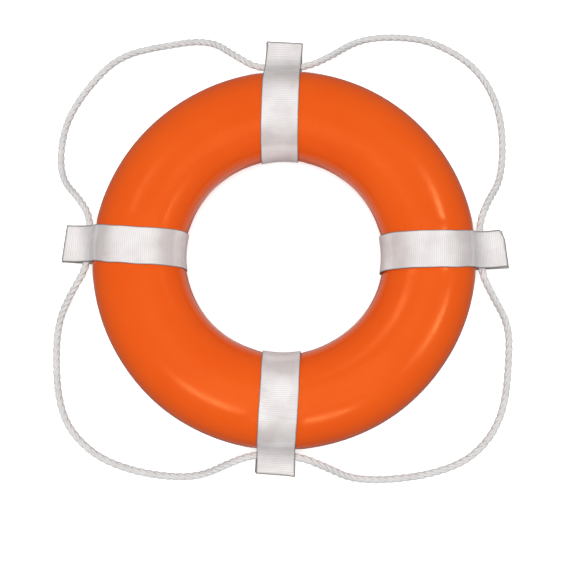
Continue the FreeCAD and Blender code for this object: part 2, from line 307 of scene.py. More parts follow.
@dataclass(frozen=True)
class WovenWebbing:
    """Woven polypropylene webbing: white, ribbed across its width, with a soft sheen.

    The weft lies under the warp as ribs across the strap, drawn a little coarser than its
    real 1.6 mm so that they show, and the warp's yarns run along it as fine lines, with
    painted shade in the hollows between them. The selvedges and the heat-cut ends carry a
    painted shade line, wider on the tabs, and the stretches over the ring's shoulders carry
    painted shade, mixed with random stains.
    """

    colour: str = "#F9F5F4"
    # The next colour is painted shade in the hollows between the ribs.
    hollow_shade: str = "#D4CDCC"
    # The next colour is painted shade over the ring's shoulders, mixed with random stains; the
    # factor after it sets how strong that painted shade is.
    shade_and_stain: str = "#D3CBCA"
    shoulder_shade_strength: float = 0.6
    # The next colour is a painted shade line along the selvedges and the cut ends, this wide.
    edge: str = "#7F7A77"
    edge_shade_width: float = 1.2 * MM
    rib: float = 2.6 * MM
    yarn: float = 1.3 * MM
    depth: float = 0.30 * MM
    stain: float = 28 * MM

    def wave(self, tree: bpy.types.NodeTree, distance: bpy.types.NodeSocket,
             pitch: float) -> bpy.types.NodeSocket:
        """Make a row of rounded ridges along a distance.

        Args:
            tree: the material's nodes.
            distance: in metres.
            pitch: from ridge to ridge.

        Returns:
            A height from 0 in the hollows to 1 on the ridges.
        """
        turn = add_node(tree, "ShaderNodeMath", {0: distance, 1: math.pi / pitch},
                        operation="MULTIPLY")
        sine = add_node(tree, "ShaderNodeMath", {0: turn.outputs[0]}, operation="SINE")
        size = add_node(tree, "ShaderNodeMath", {0: sine.outputs[0]}, operation="ABSOLUTE")
        return add_node(tree, "ShaderNodeMath", {0: size.outputs[0], 1: 0.6},
                        operation="POWER").outputs[0]

    def build(self) -> bpy.types.Material:
        """Make the node material, which reads the strap's own UV map in metres.

        Returns:
            The material.
        """
        material, tree, shader = new_material("woven_webbing")
        strap = add_node(tree, "ShaderNodeUVMap", uv_map="strap")
        parts = add_node(tree, "ShaderNodeSeparateXYZ", {0: strap.outputs[0]})
        ribs = self.wave(tree, parts.outputs[0], self.rib)
        yarns = self.wave(tree, parts.outputs[1], self.yarn)
        woven = add_node(tree, "ShaderNodeMath", {0: yarns, 1: 0.3, 2: 0.7},
                         operation="MULTIPLY_ADD")
        raised = add_node(tree, "ShaderNodeMath", {0: ribs, 1: woven.outputs[0]},
                          operation="MULTIPLY")
        place = add_node(tree, "ShaderNodeTexCoord").outputs["Object"]
        stain = add_node(tree, "ShaderNodeTexNoise",
                         {"Vector": place, "Scale": 1 / self.stain, "Detail": 5.0})
        # Painted shade over the ring's shoulders, added to random stains, darkens the webbing.
        shoulder_shade_input = add_node(tree, "ShaderNodeAttribute", attribute_name="shoulder_shade")
        shade_and_stain_sum = add_node(tree, "ShaderNodeMath",
                        {0: shoulder_shade_input.outputs["Fac"], 1: self.shoulder_shade_strength, 2: stain.outputs[0]},
                        operation="MULTIPLY_ADD")
        shade_and_stain_mask = add_node(tree, "ShaderNodeMapRange",
                        {"Value": shade_and_stain_sum.outputs[0], "From Min": 0.40, "From Max": 1.1})
        shaded_and_stained = add_node(tree, "ShaderNodeMix",
                         {0: shade_and_stain_mask.outputs[0], 6: linear(self.colour),
                          7: linear(self.shade_and_stain)}, data_type="RGBA")
        # Painted shade in the hollows between the ribs and yarns.
        shade = add_node(tree, "ShaderNodeMapRange",
                         {"Value": raised.outputs[0], "From Min": 0.0, "From Max": 0.6})
        thread = add_node(tree, "ShaderNodeMix",
                          {0: shade.outputs[0], 6: linear(self.hollow_shade),
                           7: shaded_and_stained.outputs[2]}, data_type="RGBA")
        # Painted shade line along the selvedges and the cut ends.
        rim = add_node(tree, "ShaderNodeAttribute", attribute_name="from_edge")
        edge_shade_mask = add_node(tree, "ShaderNodeMapRange",
                          {"Value": rim.outputs["Fac"], "From Min": 0.35 * self.edge_shade_width,
                           "From Max": 1.25 * self.edge_shade_width})
        colour = add_node(tree, "ShaderNodeMix",
                          {0: edge_shade_mask.outputs[0], 6: linear(self.edge),
                           7: thread.outputs[2]}, data_type="RGBA")
        bump = add_node(tree, "ShaderNodeBump",
                        {"Height": raised.outputs[0], "Distance": self.depth})
        tree.links.new(colour.outputs[2], shader.inputs["Base Color"])
        tree.links.new(bump.outputs[0], shader.inputs["Normal"])
        shader.inputs["Roughness"].default_value = 0.55
        shader.inputs["Sheen Weight"].default_value = 0.15
        shader.inputs["Sheen Roughness"].default_value = 0.5
        shader.inputs["IOR"].default_value = 1.49
        return material


@dataclass(frozen=True)
class TwistedYarn:
    """Laid synthetic fibre, for rope, sewing thread and seizing twine.

    Fine yarns wind round each strand, so light catches it in slanting lines, and the grooves
    between the yarns carry painted shade.
    """

    name: str
    colour: str
    # The next colour is painted shade in the grooves between the yarns.
    groove_shade: str
    yarns: int
    lay: float
    depth: float
    roughness: float = 0.6

    def build(self) -> bpy.types.Material:
        """Make the node material, which reads where a point is along and around its strand.

        Returns:
            The material.
        """
        material, tree, shader = new_material(self.name)
        around = add_node(tree, "ShaderNodeAttribute", attribute_name="around")
        along = add_node(tree, "ShaderNodeAttribute", attribute_name="along")
        parts = add_node(tree, "ShaderNodeSeparateXYZ", {0: around.outputs["Vector"]})
        angle = add_node(tree, "ShaderNodeMath", {0: parts.outputs[1], 1: parts.outputs[0]},
                         operation="ARCTAN2")
        wound = add_node(tree, "ShaderNodeMath", {0: angle.outputs[0], 1: self.yarns / 2},
                         operation="MULTIPLY")
        slant = add_node(tree, "ShaderNodeMath",
                         {0: along.outputs["Fac"], 1: math.pi * self.yarns / self.lay},
                         operation="MULTIPLY")
        phase = add_node(tree, "ShaderNodeMath", {0: wound.outputs[0], 1: slant.outputs[0]},
                         operation="ADD")
        wave = add_node(tree, "ShaderNodeMath", {0: phase.outputs[0]}, operation="SINE")
        ridge = add_node(tree, "ShaderNodeMath", {0: wave.outputs[0]}, operation="ABSOLUTE")
        place = add_node(tree, "ShaderNodeTexCoord").outputs["Object"]
        wear = add_node(tree, "ShaderNodeTexNoise",
                        {"Vector": place, "Scale": 1 / (16 * MM), "Detail": 4.0})
        mixed = add_node(tree, "ShaderNodeMath", {0: ridge.outputs[0], 1: wear.outputs[0]},
                         operation="MULTIPLY_ADD")
        mixed.inputs[2].default_value = 0.35
        # Painted shade in the grooves between the yarns, varied by random wear.
        colour = add_node(tree, "ShaderNodeMix", {"Factor": mixed.outputs[0]},
                          data_type="RGBA", clamp_factor=True)
        colour.inputs[6].default_value = linear(self.groove_shade)
        colour.inputs[7].default_value = linear(self.colour)
        bump = add_node(tree, "ShaderNodeBump",
                        {"Height": ridge.outputs[0], "Distance": self.depth})
        tree.links.new(colour.outputs[2], shader.inputs["Base Color"])
        tree.links.new(bump.outputs[0], shader.inputs["Normal"])
        shader.inputs["Roughness"].default_value = self.roughness
        shader.inputs["Sheen Weight"].default_value = 0.2
        shader.inputs["IOR"].default_value = 1.49
        return material


@dataclass(frozen=True)
class ClosedCellFoam:
    """Cut closed-cell vinyl foam: pale, matt and finely pitted by its opened cells."""

    colour: str = "#EADFC4"
    # The next colour is painted shade in the opened cells' pits.
    pit_shade: str = "#C9B98F"
    cell: float = 1.6 * MM
    depth: float = 0.25 * MM

    def build(self) -> bpy.types.Material:
        """Make the node material.

        Returns:
            The material.
        """
        material, tree, shader = new_material("closed_cell_foam")
        place = add_node(tree, "ShaderNodeTexCoord").outputs["Object"]
        cells = add_node(tree, "ShaderNodeTexVoronoi",
                         {"Vector": place, "Scale": 1 / self.cell}, feature="F1")
        # Painted shade in the opened cells' pits.
        colour = add_node(tree, "ShaderNodeMix", {"Factor": cells.outputs["Distance"]},
                          data_type="RGBA", clamp_factor=True)
        colour.inputs[6].default_value = linear(self.pit_shade)
        colour.inputs[7].default_value = linear(self.colour)
        bump = add_node(tree, "ShaderNodeBump",
                        {"Height": cells.outputs["Distance"], "Distance": self.depth})
        tree.links.new(colour.outputs[2], shader.inputs["Base Color"])
        tree.links.new(bump.outputs[0], shader.inputs["Normal"])
        shader.inputs["Roughness"].default_value = 0.85
        return material


@dataclass(frozen=True)
class CementFilm:
    """Dried contact cement: an amber film, brushed on and patchy."""

    colour: str = "#B48A4A"
    thick: str = "#7E5A2A"
    stroke: float = 9 * MM

    def build(self) -> bpy.types.Material:
        """Make the node material.

        Returns:
            The material.
        """
        material, tree, shader = new_material("contact_cement")
        place = add_node(tree, "ShaderNodeTexCoord").outputs["Object"]
        strokes = add_node(tree, "ShaderNodeTexNoise",
                           {"Vector": place, "Scale": 1 / self.stroke, "Detail": 6.0,
                            "Distortion": 1.2})
        colour = add_node(tree, "ShaderNodeMix", {"Factor": strokes.outputs[0]},
                          data_type="RGBA")
        colour.inputs[6].default_value = linear(self.colour)
        colour.inputs[7].default_value = linear(self.thick)
        bump = add_node(tree, "ShaderNodeBump",
                        {"Height": strokes.outputs[0], "Distance": 0.2 * MM})
        tree.links.new(colour.outputs[2], shader.inputs["Base Color"])
        tree.links.new(bump.outputs[0], shader.inputs["Normal"])
        shader.inputs["Roughness"].default_value = 0.4
        return material


@dataclass(frozen=True)
class OpalAcrylic:
    """Opal acrylic of a light table: matt white, lit a little from below."""

    colour: str = "#F7F7F6"
    glow: float = 0.55
    grain: float = 6 * MM

    def build(self) -> bpy.types.Material:
        """Make the node material.

        Returns:
            The material.
        """
        material, tree, shader = new_material("opal_acrylic")
        place = add_node(tree, "ShaderNodeTexCoord").outputs["Object"]
        grain = add_node(tree, "ShaderNodeTexNoise",
                         {"Vector": place, "Scale": 1 / self.grain, "Detail": 3.0})
        bump = add_node(tree, "ShaderNodeBump",
                        {"Height": grain.outputs[0], "Distance": 0.02 * MM})
        tree.links.new(bump.outputs[0], shader.inputs["Normal"])
        shader.inputs["Base Color"].default_value = linear(self.colour)
        shader.inputs["Roughness"].default_value = 0.9
        shader.inputs["Specular IOR Level"].default_value = 0.1
        shader.inputs["Emission Color"].default_value = (1, 1, 1, 1)
        shader.inputs["Emission Strength"].default_value = self.glow
        return material


# ------------------------------------------------------------------ ring
@dataclass
class Section:
    """The ring's section, an oval between an ellipse and a box, in the (radius, height) plane.

    A point is found by its share of the way round, from the rim anticlockwise over the front.
    """

    centre: float
    half_width: float
    half_height: float
    squareness: float = 2.35
    points: list[Vector] = field(default_factory=list)
    lengths: list[float] = field(default_factory=list)

    def __post_init__(self) -> None:
        """Trace the oval finely, so that it can be walked at an even pace."""
        steps = 1440
        power = 2 / self.squareness
        for step in range(steps + 1):
            angle = TURN * step / steps
            cosine, sine = math.cos(angle), math.sin(angle)
            self.points.append(Vector((
                self.centre + self.half_width * math.copysign(abs(cosine) ** power, cosine),
                self.half_height * math.copysign(abs(sine) ** power, sine))))
        self.lengths.append(0.0)
        for before, after in zip(self.points, self.points[1:]):
            self.lengths.append(self.lengths[-1] + (after - before).length)

    def point(self, share: float) -> Vector:
        """Find the point at a share of the way round.

        Args:
            share: from 0 to 1, wrapping round.

        Returns:
            Its radius and its height over the mid-plane.
        """
        wanted = (share % 1.0) * self.lengths[-1]
        low, high = 0, len(self.lengths) - 1
        while high - low > 1:
            middle = (low + high) // 2
            if self.lengths[middle] <= wanted:
                low = middle
            else:
                high = middle
        span = self.lengths[high] - self.lengths[low]
        part = (wanted - self.lengths[low]) / span if span else 0.0
        return self.points[low].lerp(self.points[high], part)

    def normal(self, share: float) -> Vector:
        """Find the outward direction at a share of the way round."""
        tangent = self.point(share + 0.004) - self.point(share - 0.004)
        return Vector((tangent.y, -tangent.x)).normalized()


@dataclass(frozen=True)
class Flat:
    """A stretch of the ring that is a little thin or full, on its rim or round its hole.

    The azimuth and the spread are in degrees, and a negative depth is a full stretch.
    """

    azimuth: float
    spread: float
    depth: float
    at_rim: bool

    def sink(self, azimuth: float, outward: float) -> float:
        """How deep it is at a place.

        Args:
            azimuth: in radians.
            outward: how far the place faces outward, from -1 at the hole to 1 at the rim.

        Returns:
            The depth in metres.
        """
        off = math.remainder(azimuth - math.radians(self.azimuth), TURN)
        near = math.exp(-(off / math.radians(self.spread)) ** 2)
        side = outward if self.at_rim else -outward
        return self.depth * near * smooth_step(0.0, 0.9, side)


@dataclass
class Ring:
    """The buoy's body: its vinyl skin, and the foam and cement inside."""

    hole_radius: float = 131 * MM
    skin_thickness: float = 1.2 * MM
    foam_inset: float = 2.1 * MM
    cement_half: float = 0.3 * MM
    steps_around: int = 320
    steps_section: int = 112
    ridge_height: float = 0.45 * MM
    ridge_width: float = 1.3 * MM
    wave_height: float = 0.55 * MM
    wave_length: float = 110 * MM
    band_squeeze: float = 0.7 * MM
    flats: tuple[Flat, ...] = (
        Flat(122, 40, 2.2 * MM, True), Flat(232, 18, -1.1 * MM, True),
        Flat(340, 28, 1.6 * MM, False), Flat(282, 16, 0.9 * MM, False),
        Flat(195, 20, -0.8 * MM, False))
    outer_radius: float = 0.0
    mid_height: float = 0.0
    section: Section | None = None

    def __post_init__(self) -> None:
        """Take the ring's outside sizes from the frame."""
        low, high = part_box("vinyl_skin")
        self.outer_radius = high[0]
        self.mid_height = (low[2] + high[2]) / 2
        half_width = (self.outer_radius - self.hole_radius) / 2
        self.section = Section(self.hole_radius + half_width, half_width,
                               (high[2] - low[2]) / 2)

    def swell(self, azimuth: float, share: float, beckets: list["Becket"]) -> float:
        """How far the skin stands off its plain oval.

        Args:
            azimuth: round the ring, in radians.
            share: round the section.
            beckets: the bands, which press the foam in a little.

        Returns:
            A distance along the outward normal.
        """
        place = self.section.point(share)
        from_middle = place.y / self.ridge_width
        ridge = self.ridge_height * math.exp(-from_middle * from_middle)
        spot = Vector((place.x * math.cos(azimuth), place.x * math.sin(azimuth), place.y))
        wave = self.wave_height * noise.noise(spot / self.wave_length)
        squeeze = 0.0
        for becket in beckets:
            off = math.remainder(azimuth - math.radians(becket.azimuth), TURN)
            aside = abs(math.sin(off)) * place.x
            near = 1 - smooth_step(becket.width * 0.46, becket.width * 0.72, aside)
            squeeze += self.band_squeeze * near * (math.cos(off) > 0)
        outward = (place.x - self.section.centre) / self.section.half_width
        sunk = sum(flat.sink(azimuth, outward) for flat in self.flats)
        return ridge + wave - squeeze - sunk - self.wave_height * 0.3

    def swept(self, place: Vector, azimuth: float) -> tuple[float, float, float]:
        """Carry a point of the section round to an azimuth."""
        return (place.x * math.cos(azimuth), place.x * math.sin(azimuth),
                place.y + self.mid_height)

    def shell(self, around: int, along: int, inset: float,
              beckets: list["Becket"]) -> list[tuple[float, float, float]]:
        """Place the vertices of one closed surface of the skin.

        Args:
            around: how many places round the ring.
            along: how many round the section.
            inset: how far inside the skin's outer surface it lies.
            beckets: the bands, which press the foam in a little.

        Returns:
            The vertices, one section after another.
        """
        vertices = []
        for turn in range(around):
            azimuth = TURN * turn / around
            for step in range(along):
                share = step / along
                out = self.swell(azimuth, share, beckets) - inset
                place = self.section.point(share) + self.section.normal(share) * out
                vertices.append(self.swept(place, azimuth))
        return vertices

    def build_skin(self, material: bpy.types.Material,
                   beckets: list["Becket"]) -> bpy.types.Object:
        """Make the skin as a closed hollow ring with a real wall.

        Args:
            material: the vinyl.
            beckets: the bands round it.

        Returns:
            The skin, which stands for the frame's own.
        """
        vertices, faces = [], []
        shells = ((self.steps_around, self.steps_section, 0.0, False),
                  (self.steps_around // 2, self.steps_section // 2, self.skin_thickness, True))
        for around, along, inset, inside in shells:
            first = len(vertices)
            vertices += self.shell(around, along, inset, beckets)
            for turn in range(around):
                for step in range(along):
                    corners = [first + (turn + a) % around * along + (step + b) % along
                               for a, b in ((0, 0), (1, 0), (1, 1), (0, 1))]
                    faces.append(corners[::-1] if inside else corners)
        skin = mesh_object("ring_skin", vertices, faces, material)
        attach(skin, BODY)
        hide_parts("vinyl_skin")
        log.info("ring skin: %.0f mm outside, %d faces", 2000 * self.outer_radius, len(faces))
        return skin

    def build_foam_half(self, name: str, front: bool, material: bpy.types.Material,
                        beckets: list["Becket"]) -> bpy.types.Object:
        """Make one half of the core: half the section, swept round, with a flat glued face.

        Args:
            name: the frame's node that it stands for.
            front: the upper half, or else the lower.
            material: the foam.
            beckets: the bands round the ring, which press it in.

        Returns:
            The foam half.
        """
        around, along, across = self.steps_around // 2, self.steps_section // 2, 24
        side = 1 if front else -1
        glued = side * self.cement_half
        vertices = []
        for turn in range(around):
            azimuth = TURN * turn / around
            curve = []
            for step in range(along + 1):
                share = side * 0.5 * step / along
                out = self.swell(azimuth, share, beckets) - self.foam_inset
                curve.append(self.section.point(share) + self.section.normal(share) * out)
            curve = [Vector((place.x, side * max(side * place.y, self.cement_half)))
                     for place in curve]
            inner, outer = curve[-1], curve[0]
            curve += [Vector((inner.x + (outer.x - inner.x) * step / across, glued))
                      for step in range(1, across)]
            vertices += [self.swept(place, azimuth) for place in curve]
        count = along + across
        faces = []
        for turn in range(around):
            for step in range(count):
                corners = [turn % around * count + step, (turn + 1) % around * count + step,
                           (turn + 1) % around * count + (step + 1) % count,
                           turn * count + (step + 1) % count]
                faces.append(corners if front else corners[::-1])
        half = mesh_object(name.replace("core", "half"), vertices, faces, material)
        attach(half, BODY)
        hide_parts(name)
        log.info("core half %s: %d faces", name, len(faces))
        return half

    def build_core(self, foam: bpy.types.Material, cement: bpy.types.Material,
                   beckets: list["Becket"]) -> None:
        """Make the two foam halves, and give the cement between them its finish.

        The cement keeps the frame's round outline and the skin doesn't, so where the ring is
        thin the cement's edge lies in the skin's wall or comes out of it by up to 0.3 mm.

        Args:
            foam: the halves' material.
            cement: the film's.
            beckets: the bands, which press the foam in a little.
        """
        self.build_foam_half("foam_core_front", True, foam, beckets)
        self.build_foam_half("foam_core_back", False, foam, beckets)
        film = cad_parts["core_cement_film"].data
        film.materials.clear()
        film.materials.append(cement)
        log.info("cement film dressed")


# ------------------------------------------------------------------ beckets
class Side(Enum):
    """Which becket, by where it sits on the ring."""

    RIGHT = "right"
    TOP = "top"
    LEFT = "left"
    BOTTOM = "bottom"


@dataclass(frozen=True)
class Drift:
    """How far a band's middle wanders sideways, anticlockwise, at places along it."""

    tab: float
    rim: float
    shoulder: float
    front: float
    hole: float
    back: float = 0.0
    under_tab: float = 0.0

    def at(self, radius: float, front: bool) -> float:
        """Find the drift at a distance from the ring's axis.

        Args:
            radius: in metres.
            front: whether the place is on the front of the ring, or else on its back.

        Returns:
            The sideways distance in metres.
        """
        stations = [(133 * MM, self.hole), (188 * MM, self.front if front else self.back),
                    (226 * MM, self.shoulder if front else self.back),
                    (254 * MM, self.rim if front else (self.rim + self.under_tab) / 2),
                    (290 * MM, self.tab if front else self.under_tab)]
        if radius <= stations[0][0]:
            return self.hole
        for (start, before), (end, after) in zip(stations, stations[1:]):
            if radius <= end:
                return before + (after - before) * (radius - start) / (end - start)
        return stations[-1][1]


@dataclass(frozen=True)
class Crease:
    """A shallow fold across a band's front: where, how slanted, how wide and how high."""

    radius: float
    slant: float
    spread: float
    height: float

    def lift(self, radius: float, aside: float) -> float:
        """How much the crease raises the webbing at a place on the front."""
        off = (radius - self.radius - self.slant * aside) / self.spread
        return self.height * math.exp(-off * off)


@dataclass
class Becket:
    """One webbing band with its sewn tab."""

    side: Side
    azimuth: float
    drift: Drift
    tab_longer: float = 0.0
    tab_cut: float = 0.0
    under_layer: float = 0.0
    corner_cut: float = 0.0
    creases: tuple[Crease, ...] = ()
    wrinkle: float = 0.25 * MM
    width: float = 50 * MM
    pulled_width: float = 49 * MM
    thickness: float = 1.5 * MM
    tunnel_tip: float = 273 * MM
    crest: tuple[float, float] = (256.5 * MM, 10.3 * MM)
    row: float = 1.05 * MM
    columns: int = 30
    skin_gap: float = 0.1 * MM
    layer_gap: float = 0.05 * MM
    bend_reach: float = 5.5 * MM
    straighten: float = 9 * MM
    rib_height: float = 0.09 * MM
    ragged: float = 0.4 * MM
    cut_reach: float = 14 * MM
    tab_end: float = 0.0
    length: float = 0.0

    def __post_init__(self) -> None:
        """Take the tab's end from the frame."""
        low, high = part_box(f"becket_band_{self.side.value}")
        reach = {Side.RIGHT: high[0], Side.TOP: high[1], Side.LEFT: -low[0],
                 Side.BOTTOM: -low[1]}[self.side]
        self.tab_end = reach - 0.5 * MM + self.tab_longer

    def profile(self, ring: Ring) -> list[tuple[Vector, Vector]]:
        """Walk the middle of the webbing from the front layer's end to the back layer's.

        Args:
            ring: the body that it goes round.

        Returns:
            Evenly spaced places in the (radius, height) plane, each with its outward direction.
        """
        lift = self.thickness / 2 + self.skin_gap
        hugging = []
        for step in range(721):
            share = step / 720
            hugging.append(ring.section.point(share) + ring.section.normal(share) * lift)
        tip = Vector((self.tunnel_tip, self.thickness / 2 + self.layer_gap))
        crest = Vector(self.crest)

        def climb(place: Vector) -> float:
            """How steeply a place on the ring looks down to the rope, in radians."""
            return math.atan2(place.y - crest.y, crest.x - place.x)

        start = max(range(0, 200), key=lambda number: climb(hugging[number]))
        end = Vector((self.tab_end, tip.y))
        front = [end, *self.round_bends([end, tip, crest, hugging[start]], self.bend_reach),
                 *hugging[start:361]]
        back = [Vector((place.x, -place.y)) for place in reversed(front[:-1])]
        return self.even_walk(front + back)

    def round_bends(self, line: list[Vector], reach: float) -> list[Vector]:
        """Curve the bends where the webbing passes over the rope and where the tab begins.

        Args:
            line: straight runs from the tab's end to the ring.
            reach: how far from each bend its curve starts.

        Returns:
            The curves' points, without the line's two ends.
        """
        rounded = []
        for before, bend, after in zip(line, line[1:], line[2:]):
            entry = bend + (before - bend).normalized() * reach
            leave = bend + (after - bend).normalized() * reach
            rounded += [entry.lerp(bend, step / 8).lerp(bend.lerp(leave, step / 8), step / 8)
                        for step in range(9)]
        return rounded

    def even_walk(self, line: list[Vector]) -> list[tuple[Vector, Vector]]:
        """Space a line's points evenly, one rib of the webbing apart.

        Args:
            line: points in the (radius, height) plane.

        Returns:
            The even points and the direction to the left of the walk, which is outward.
        """
        lengths = [0.0]
        for before, after in zip(line, line[1:]):
            lengths.append(lengths[-1] + (after - before).length)
        self.length = lengths[-1]
        count = round(self.length / self.row)
        places, number = [], 0
        for step in range(count + 1):
            wanted = self.length * step / count
            while number < len(line) - 2 and lengths[number + 1] < wanted:
                number += 1
            span = lengths[number + 1] - lengths[number]
            places.append(line[number].lerp(line[number + 1],
                                            (wanted - lengths[number]) / span))
        walk = []
        for number, place in enumerate(places):
            ahead = places[min(number + 1, count)] - places[max(number - 1, 0)]
            walk.append((place, Vector((ahead.y, -ahead.x)).normalized() * -1))
        return walk

    def place(self, at: Vector, out: Vector, aside: float, lift: float,
              ring: Ring) -> Vector:
        """Turn a point of the band into the row frame.

        Args:
            at: radius and height of the webbing's middle.
            out: the outward direction there.
            aside: how far it is to the side, anticlockwise.
            lift: how far it stands outward from the webbing's middle.
            ring: the body, whose roundness the band follows across its width.

        Returns:
            The point in metres.
        """
        follow = 1 - smooth_step(ring.outer_radius, ring.outer_radius + self.straighten, at.x)
        radius, height = at.x + out.x * lift, at.y + out.y * lift
        sagitta = radius - math.sqrt(max(radius * radius - aside * aside, 0.0))
        angle = math.radians(self.azimuth)
        forward = radius - follow * sagitta
        return Vector((forward * math.cos(angle) - aside * math.sin(angle),
                       forward * math.sin(angle) + aside * math.cos(angle),
                       height + ring.mid_height))

    def build_band(self, ring: Ring, material: bpy.types.Material) -> bpy.types.Object:
        """Make the webbing as one closed strip with ribs, selvedges and cut ends.

        Args:
            ring: the body that it goes round.
            material: the webbing.

        Returns:
            The band, which stands for the frame's own.
        """
        walk = self.profile(ring)
        last = len(walk) - 1
        seed = Vector((self.azimuth, 3.1, 7.7))
        vertices, marks = [], []
        for number, (at, out) in enumerate(walk):
            share = number / last
            front = number < last / 2
            middle = self.drift.at(at.x, front)
            free = smooth_step(ring.outer_radius, self.tunnel_tip, at.x)
            half_width = (self.pulled_width + (self.width - self.pulled_width) * free) / 2
            rib = self.rib_height * (1 if number % 2 else -1)
            near_end = min(number, last - number) * self.row
            # Painted shade over the ring's shoulders: darker where the webbing slopes, less
            # where it is steepest, fading out along the free tab.
            slope = abs(out.x)
            shoulder_shade = smooth_step(0.1, 0.5, slope) - 0.7 * smooth_step(0.6, 0.75, slope)
            shoulder_shade *= (1 - free) ** 2
            for column in range(self.columns + 1):
                part = 2 * column / self.columns - 1
                part = math.copysign(1 - (1 - abs(part)) ** 1.25, part)
                wave = self.ragged * noise.noise(seed + Vector((share * 23, 5 * part, 0)))
                aside = part * (half_width + wave)
                spot = Vector((share * 14, part * 2.2, 0)) + seed
                lift = max(self.wrinkle * noise.noise(spot), -self.skin_gap)
                if front:
                    lift += sum(crease.lift(at.x, aside) for crease in self.creases)
                selvedge = 1 - 0.45 * smooth_step(0.93, 1.0, abs(part))
                melt = 1 - 0.3 * (1 - smooth_step(0.0, 1.6 * MM, near_end))
                half = (self.thickness / 2) * selvedge * melt
                moved = Vector((at.x + self.end_shift(number, last, part), at.y))
                for face in (1, -1):
                    height = face * (half + rib) + lift
                    vertices.append(self.place(moved, out, aside + middle, height, ring))
                # The distance to the nearest edge places the painted shade line along the
                # selvedges and ends; it is shrunk on the tabs, so that this painted line is
                # wider there.
                edge = min(self.width / 2 * (1 - abs(part)), near_end) / (1 + 0.7 * free)
                marks.append((share * self.length, part * self.width / 2, edge, shoulder_shade))
        return self.close_strip(vertices, marks, last + 1, material)

    def end_shift(self, number: int, last: int, part: float) -> float:
        """How far a tab's end is moved by its uneven cut.

        Args:
            number: the row, from the front layer's end.
            last: the back layer's end row.
            part: across the band, from -1 to 1.

        Returns:
            The shift outward, at full only at the very ends.
        """
        rows = self.cut_reach / self.row
        corner = self.corner_cut * smooth_step(0.45, 1.0, part)
        if number < last / 2:
            return (self.tab_cut * part - corner) * (1 - smooth_step(0, rows, number))
        return ((self.under_layer + self.tab_cut * part - 0.5 * corner)
                * (1 - smooth_step(0, rows, last - number)))

    def close_strip(self, vertices: list[Vector], marks: list[tuple[float, ...]], rows: int,
                    material: bpy.types.Material) -> bpy.types.Object:
        """Join the strip's two faces, its selvedges and its ends.

        Args:
            vertices: outer and inner points in pairs, row by row.
            marks: each pair's distance along, across and from the nearest edge of the strap,
            shrunk on the tabs to widen the painted edge shade there, and how much painted
            shade it carries over the ring's shoulders, from 0 to 1.
            rows: how many rows there are.
            material: the webbing.

        Returns:
            The band with its UV map in metres.
        """
        wide = self.columns + 1

        def number(row: int, column: int, inner: int) -> int:
            """Where in the list the outer or the inner point of a pair stands."""
            return 2 * (row * wide + column) + inner

        faces = []
        for row in range(rows - 1):
            for column in range(self.columns):
                outer = [number(row + a, column + b, 0)
                         for a, b in ((0, 0), (0, 1), (1, 1), (1, 0))]
                faces += [outer, [corner + 1 for corner in reversed(outer)]]
            for column, order in ((0, (0, 1)), (self.columns, (1, 0))):
                first, second = order
                faces.append([number(row, column, first), number(row + 1, column, first),
                              number(row + 1, column, second), number(row, column, second)])
        for column in range(self.columns):
            for row, order in ((0, (1, 0)), (rows - 1, (0, 1))):
                first, second = order
                faces.append([number(row, column, first), number(row, column + 1, first),
                              number(row, column + 1, second), number(row, column, second)])
        band = mesh_object(f"becket_webbing_{self.side.value}", vertices, faces, material)
        layer = band.data.uv_layers.new(name="strap")
        for loop in band.data.loops:
            layer.data[loop.index].uv = marks[loop.vertex_index // 2][:2]
        # The second mark places the painted edge shade line, and the third the painted shoulder
        # shade.
        for place, label in ((2, "from_edge"), (3, "shoulder_shade")):
            mark = band.data.attributes.new(label, "FLOAT", "POINT")
            mark.data.foreach_set("value", [marks[number // 2][place]
                                            for number in range(len(vertices))])
        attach(band, BODY)
        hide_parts(f"becket_band_{self.side.value}")
        log.info("becket %s: webbing %.0f mm long", self.side.value, self.length * 1000)
        return band


